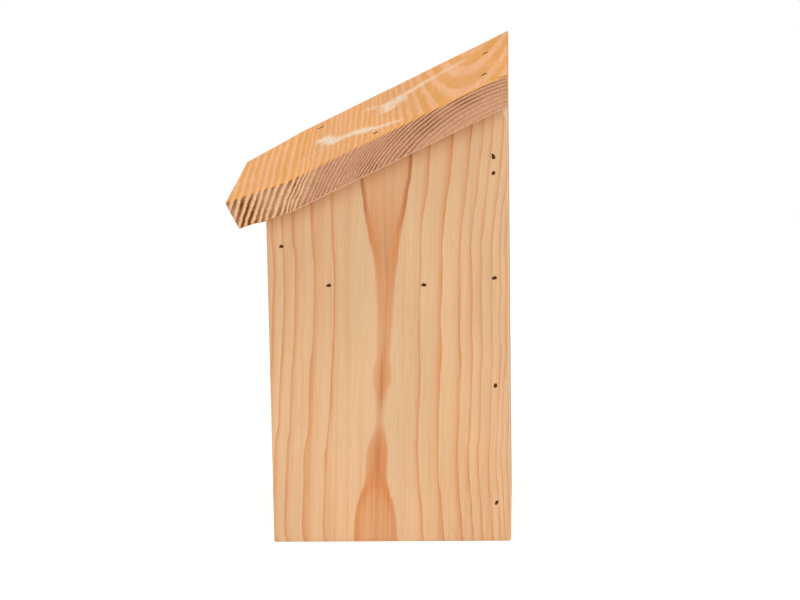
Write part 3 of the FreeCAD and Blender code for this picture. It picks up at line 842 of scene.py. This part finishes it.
# The roof is one slightly thicker board of redder, oiled pine with its grain across the box. It is sawn
# plumb and flush at the back, stands out over the front and both sides, and has its lower front arris
# planed off to a long shallow bevel. Four brads hold it down, and its front edge has dried in wind.
ROOF_THICKNESS = 0.019
ROOF_OVERHANG = 0.016
ROOF_BEVEL_LENGTH = 0.017
ROOF_BEVEL_HEIGHT = 0.0035
ROOF_ROUND = 0.0016
ROOF_LOWER_ROUND = 0.0009
ROOF_TEAR = (1.45, 1.7)
ROOF_SHEEN = 0.25
roof_low, roof_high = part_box("roof_board")
eave = roof_seat - UP_THE_ROOF * (ROOF_OVERHANG / math.cos(ROOF_PITCH))
roof_run = (rear_y - eave.y) / math.cos(ROOF_PITCH) + ROOF_THICKNESS
bpy.ops.object.select_all(action="DESELECT")
bpy.ops.mesh.primitive_cube_add(
    size=1,
    location=eave + UP_THE_ROOF * roof_run / 2 + OFF_THE_ROOF * ROOF_THICKNESS / 2,
    rotation=(ROOF_PITCH, 0, 0),
    scale=(roof_high.x - roof_low.x, roof_run, ROOF_THICKNESS),
)
roof = bpy.context.object
roof.name = "roof_board_wood"
roof.data.name = roof.name
bpy.ops.object.transform_apply()
bpy.ops.object.mode_set(mode="EDIT")
saw_off(Vector((0, rear_y, 0)), BACKWARD)
saw_off(
    eave + UP_THE_ROOF * ROOF_BEVEL_LENGTH,
    -(UP_THE_ROOF * ROOF_BEVEL_HEIGHT + OFF_THE_ROOF * ROOF_BEVEL_LENGTH).normalized(),
)


def is_upper(middle, way):
    """The upper arrises at the roof's front and at its two ends."""
    return (middle - eave).dot(OFF_THE_ROOF) > ROOF_THICKNESS * 0.9 and middle.y < rear_y - ROOF_THICKNESS


def is_lower_end(middle, way):
    """The lower arrises at the roof's two ends."""
    return (middle - eave).dot(OFF_THE_ROOF) < ROOF_THICKNESS / 4 and abs(way.x) < 0.1


pick_edges(roof, is_upper)
bpy.ops.mesh.bevel(offset=ROOF_ROUND, segments=4, affect="EDGES")
pick_edges(roof, is_lower_end)
bpy.ops.mesh.bevel(offset=ROOF_LOWER_ROUND, segments=4, affect="EDGES")
break_arrises()
divide(roof, (RIGHTWARD, UP_THE_ROOF, OFF_THE_ROOF))


def pull(board, place, move, reach):
    """Moves a spot of a board, and the wood round it less and less."""
    bpy.ops.mesh.select_mode(type="VERT")
    bpy.ops.mesh.select_all(action="DESELECT")
    mesh = bmesh.from_edit_mesh(board.data)
    nearest = min(mesh.verts, key=lambda corner: (corner.co - place).length)
    nearest.select_set(True)
    bmesh.update_edit_mesh(board.data)
    bpy.ops.transform.translate(
        value=move,
        use_proportional_edit=True,
        proportional_edit_falloff="LINEAR",
        proportional_size=reach,
    )


# The front edge in wind: it turns about a line from front to back, its right end up and its left end down.
# Its lower right corner has dropped a little too.
WIND = 0.047
WIND_MIDDLE = -0.033
WIND_REACH = 0.038
CORNER_DROP = 0.0019
CORNER_SHIFT = 0.0011
CORNER_REACH = 0.012
ROOF_DENTS = 0.0003
ROOF_DENT_LENGTH = 0.025
upper_front = eave + OFF_THE_ROOF * ROOF_THICKNESS
pick_edges(roof, lambda middle, way: abs((middle - upper_front).dot(UP_THE_ROOF)) < ROOF_ROUND * 1.5
           and (middle - upper_front).dot(OFF_THE_ROOF) > -ROOF_ROUND * 1.5)
bpy.ops.transform.rotate(
    value=WIND,
    orient_axis="Y",
    orient_type="GLOBAL",
    center_override=(WIND_MIDDLE, upper_front.y, upper_front.z),
    use_proportional_edit=True,
    proportional_edit_falloff="LINEAR",
    proportional_size=WIND_REACH,
)
lower_front = eave + OFF_THE_ROOF * ROOF_BEVEL_HEIGHT
corner_move = UP_THE_ROOF * CORNER_SHIFT - OFF_THE_ROOF * CORNER_DROP
pull(roof, lower_front + RIGHTWARD * roof_high.x, corner_move, CORNER_REACH)
dent(roof, ROOF_DENTS, ROOF_DENT_LENGTH)

# The roof's log leans a little in the board and is lopsided. Its rings lie as the photograph shows them.
# Growth is by mm from the heart, and both strengths are by age.
ROOF_LEAN = -0.025
ROOF_HEART = (82, 149.3, 184.3)
ROOF_LOPSIDED = 0.225
ROOF_HEARTWOOD = 26.5
ROOF_TONES = (tone(246, 181, 127), tone(230, 149, 2), tone(206, 126, 62))
ROOF_END_TONES = (tone(253, 201, 153), tone(132, 62, 4))
ROOF_GROWTH = [
    (85, -8), (113, 0), (120.5, 3), (127, 6), (132.5, 9), (138.5, 13), (145, 18), (150.5, 21), (155.5, 24),
    (160.5, 26), (166, 29), (172.5, 31), (181.5, 34), (205, 41),
]
ROOF_STRENGTH = [
    (-8, 0.95), (5, 1), (9, 1), (12, 0.9), (14, 0.8), (24, 0.8), (27, 0.95), (30, 1), (41, 1),
]
ROOF_RING = [(0, 0.02), (0.34, 0.1), (0.46, 0.7), (0.58, 1), (0.92, 1), (0.97, 0.8), (1, 0.02)]
ROOF_END_STRENGTH = [(-8, 0.22), (2, 0.26), (5, 0.75), (24, 0.72), (27, 1), (41, 1.02)]
roof_pine = pine(
    "roof_pine",
    grain=RIGHTWARD,
    turn=(-ROOF_PITCH, LAID_ACROSS + ROOF_LEAN, 0),
    heart=ROOF_HEART,
    growth=ROOF_GROWTH,
    tones=ROOF_TONES,
    end_tones=ROOF_END_TONES,
    drift=(0.6, 2),
    lopsided=ROOF_LOPSIDED,
    strength=ROOF_STRENGTH,
    ring=ROOF_RING,
    heartwood=ROOF_HEARTWOOD,
    end_strength=ROOF_END_STRENGTH,
)
roof.data.materials.append(roof_pine)

# Two pale scuffs on the roof's upper face, each of short strokes given in mm as (place from the middle,
# distance up the slope): start, end, half width, strength.
SCUFFS = [
    ((-9, 62), (26, 74), 9, 0.92),
    ((17, 72), (30, 90), 9, 0.8),
    ((22, 85), (44, 98), 8.5, 0.88),
    ((44, 98), (56, 112), 6.5, 0.75),
    ((56, 112), (66, 120), 5, 0.5),
    ((36, 52), (27, 70), 5, 0.25),
    ((-41, 92), (-25, 103), 6, 0.4),
    ((-24, 108), (2, 110), 9.5, 0.8),
    ((-28, 116), (-9, 116), 9.5, 0.75),
    ((-28, 122), (-37, 135), 11, 0.65),
    ((-36, 136), (-48, 160), 9, 0.45),
]
SCUFF_TONE = tone(246, 222, 194)
SCUFF_FRAYING = (0.09, 0.3, 0)
SCUFF_RAGGEDNESS = 9
SCUFF_STREAKS = (0.05, 0.7, 0)
SCUFF_WEAR = (0.3, 0.6, 0.6, 1.1)
roof_tree = roof_pine.node_tree
roof_shader = roof_tree.nodes["Principled BSDF"]
roof_shader.inputs["Specular IOR Level"].default_value = ROOF_SHEEN
roof_surface = node(roof_tree, "TexCoord")
roof_mm = scaled(roof_tree, roof_surface.outputs["Object"], 1000)
from_middle = measure(roof_tree, "DOT_PRODUCT", roof_mm, RIGHTWARD)
eave_offset = vectors(roof_tree, "SUBTRACT", roof_mm, eave * 1000)
from_eave = measure(roof_tree, "DOT_PRODUCT", eave_offset, UP_THE_ROOF)
roof_plan = node(roof_tree, "CombineXYZ", {0: from_middle, 1: from_eave}).outputs["Vector"]
fraying = vectors(roof_tree, "MULTIPLY", roof_plan, SCUFF_FRAYING)
fraying = node(roof_tree, "TexNoise", {"Vector": fraying, "Scale": 1, "Detail": 4, "Roughness": 0.6})
fraying = maths(roof_tree, "MULTIPLY_ADD", fraying.outputs["Fac"], SCUFF_RAGGEDNESS, -SCUFF_RAGGEDNESS / 2)
scuffed = 0
for (start_x, start_y), (end_x, end_y), half_width, strength in SCUFFS:
    stroke = Vector((end_x - start_x, end_y - start_y, 0))
    offset = vectors(roof_tree, "SUBTRACT", roof_plan, (start_x, start_y, 0))
    share = measure(roof_tree, "DOT_PRODUCT", offset, stroke)
    share = maths(roof_tree, "DIVIDE", share, stroke.length_squared)
    share = node(roof_tree, "Clamp", {"Value": share}).outputs["Result"]
    nearest = scaled(roof_tree, stroke, share)
    away = maths(roof_tree, "ADD", measure(roof_tree, "DISTANCE", offset, nearest), fraying)
    stroked = ranged(roof_tree, away, half_width, 0, 0, strength)
    scuffed = maths(roof_tree, "MAXIMUM", scuffed, stroked)
worn = vectors(roof_tree, "MULTIPLY", roof_plan, SCUFF_STREAKS)
worn = node(roof_tree, "TexNoise", {"Vector": worn, "Scale": 1, "Detail": 3}).outputs["Fac"]
scuffed = maths(roof_tree, "MULTIPLY", scuffed, ranged(roof_tree, worn, *SCUFF_WEAR))
upper = measure(roof_tree, "DOT_PRODUCT", roof_surface.outputs["Normal"], OFF_THE_ROOF)
scuffed = maths(roof_tree, "MULTIPLY", scuffed, ranged(roof_tree, upper, 0.7, 0.9, 0, 1))
roof_colour = roof_shader.inputs["Base Color"].links[0].from_socket
roof_colour = blend(roof_tree, scuffed, roof_colour, SCUFF_TONE)
roof_tree.links.new(roof_colour, roof_shader.inputs["Base Color"])

# The sawn lower arris of each end has frayed to a thin pale line. It is coloured paler still as a painted
# highlight, where light from the floor catches it.
FRAYED_AND_LIT_HEIGHT = 0.9
FRAYED_AND_LIT_TONE = tone(250, 208, 168)
above_eave = measure(roof_tree, "DOT_PRODUCT", eave_offset, OFF_THE_ROOF)
endward = measure(roof_tree, "DOT_PRODUCT", roof_surface.outputs["Normal"], RIGHTWARD)
endward = maths(roof_tree, "ABSOLUTE", endward)
frayed_and_lit = ranged(roof_tree, above_eave, FRAYED_AND_LIT_HEIGHT, FRAYED_AND_LIT_HEIGHT / 2, 0, 0.8)
frayed_and_lit = maths(roof_tree, "MULTIPLY", frayed_and_lit, ranged(roof_tree, endward, 0.2, 0.6, 0, 1))
# Frayed fibre and painted highlight together: a pale tone along the lower arris of each end.
roof_colour = blend(roof_tree, frayed_and_lit, roof_colour, FRAYED_AND_LIT_TONE)
roof_tree.links.new(roof_colour, roof_shader.inputs["Base Color"])
recess_brads(roof, "roof_brads", out=UPWARD, seed=13, tear=ROOF_TEAR)
finish_board(roof, "roof_board")
bpy.data.objects.remove(recess_punch)

# The brads are flat-headed steel wire, shot in below the surface: through the sides into the back, the
# shelf and the fascia, through the back into the floor, and down through the roof. Only heads show.
STEEL_TONES = (tone(60, 36, 15), tone(150, 106, 58))
STEEL_GRAIN = 1500
brad_steel, steel_tree, steel_shader = bare_material("brad_steel")
steel_place = node(steel_tree, "TexCoord").outputs["Object"]
steel_patch = node(steel_tree, "TexNoise", {"Vector": steel_place, "Scale": STEEL_GRAIN, "Detail": 3})
steel_patch = steel_patch.outputs["Fac"]
steel_colour = blend(steel_tree, steel_patch, *STEEL_TONES)
steel_tree.links.new(steel_colour, steel_shader.inputs["Base Color"])
steel_tree.links.new(ranged(steel_tree, steel_patch, 0.3, 0.7, 0.6, 0.85), steel_shader.inputs["Roughness"])
steel_shader.inputs["Metallic"].default_value = 0.15
steel_shader.inputs["Specular IOR Level"].default_value = 0.15
for brads_name in ("right_side_brads", "left_side_brads", "roof_brads", "floor_brads"):
    brads_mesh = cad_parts[brads_name].data
    brads_mesh.materials.clear()
    brads_mesh.materials.append(brad_steel)

# The studio: a pale floor that fades into a plain white surround, one wide soft lamp over the camera's
# shoulder, a second above, and the camera where the photograph was taken from.
AMBIENT = 0.5
FLOOR_LIFT = 0.45
FLOOR_SIZE = 6
FLOOR_FADE = (0.35, 0.9)
LIT_MIDDLE = (0, 0, 0.15)
bpy.ops.object.select_all(action="DESELECT")
bpy.ops.mesh.primitive_plane_add(size=FLOOR_SIZE, location=(0, 0, 0))
floor = bpy.context.object
floor.name = "studio_floor"
floor_paint, floor_tree, floor_shader = bare_material("studio_floor_paint")
floor_shader.inputs["Base Color"].default_value = (0.92, 0.92, 0.92, 1)
floor_shader.inputs["Roughness"].default_value = 0.9
floor_shader.inputs["Emission Color"].default_value = (1, 1, 1, 1)
floor_seen = node(floor_tree, "LightPath").outputs["Is Camera Ray"]
floor_glow = maths(floor_tree, "MULTIPLY", floor_seen, FLOOR_LIFT)
floor_tree.links.new(floor_glow, floor_shader.inputs["Emission Strength"])
floor_reach = measure(floor_tree, "LENGTH", node(floor_tree, "TexCoord").outputs["Object"])
floor_tree.links.new(ranged(floor_tree, floor_reach, *FLOOR_FADE, 1, 0), floor_shader.inputs["Alpha"])
floor.data.materials.append(floor_paint)

surround = bpy.data.worlds.new("studio_surround")
surround.use_nodes = True
sky = surround.node_tree.nodes["Background"]
sky.inputs["Color"].default_value = (1, 1, 1, 1)
seen = node(surround.node_tree, "LightPath")
straight = maths(surround.node_tree, "MAXIMUM", seen.outputs["Is Camera Ray"], seen.outputs["Is Glossy Ray"])
straight = maths(surround.node_tree, "MAXIMUM", straight, seen.outputs["Is Transmission Ray"])
level = maths(surround.node_tree, "MULTIPLY_ADD", straight, 1 - AMBIENT, AMBIENT)
surround.node_tree.links.new(level, sky.inputs["Strength"])
bpy.context.scene.world = surround


def hang_lamp(name, place, target, size, watts):
    """A square soft lamp aimed at a point."""
    bpy.ops.object.light_add(type="AREA", location=place)
    lamp = bpy.context.object
    lamp.name = name
    lamp.data.size = size
    lamp.data.energy = watts
    lamp.rotation_euler = (Vector(target) - Vector(place)).to_track_quat("-Z", "Y").to_euler()


hang_lamp("key_lamp", place=(1.6, 0.5, 1.5), target=LIT_MIDDLE, size=1.2, watts=15)
hang_lamp("top_lamp", place=(0.2, -0.5, 1.9), target=LIT_MIDDLE, size=1.4, watts=11)

# The camera was worked out from the edges of the side and the roof as the photograph shows them.
PHOTO_WIDTH = 800
FOCAL_PIXELS = 3376.7
SENSOR_WIDTH = 36
CAMERA_PLACE = (2.1096, 0.09786, 0.65014)
YAW, PITCH, ROLL = (math.radians(angle) for angle in (-2.213, 13.577, -0.935))
forward = Vector((-math.cos(PITCH) * math.cos(YAW), math.cos(PITCH) * math.sin(YAW), -math.sin(PITCH)))
level_right = Vector((math.sin(YAW), math.cos(YAW), 0))
level_up = level_right.cross(forward)
tilted_right = level_right * math.cos(ROLL) + level_up * math.sin(ROLL)
tilted_up = level_up * math.cos(ROLL) - level_right * math.sin(ROLL)
bpy.ops.object.camera_add()
camera = bpy.context.object
camera.name = "photo_camera"
camera.data.sensor_fit = "HORIZONTAL"
camera.data.sensor_width = SENSOR_WIDTH
camera.data.lens = FOCAL_PIXELS / PHOTO_WIDTH * SENSOR_WIDTH
turned = Matrix((tilted_right, tilted_up, -forward)).transposed().to_4x4()
camera.matrix_world = Matrix.Translation(CAMERA_PLACE) @ turned
bpy.context.scene.camera = camera
bpy.context.scene.view_settings.view_transform = "Standard"
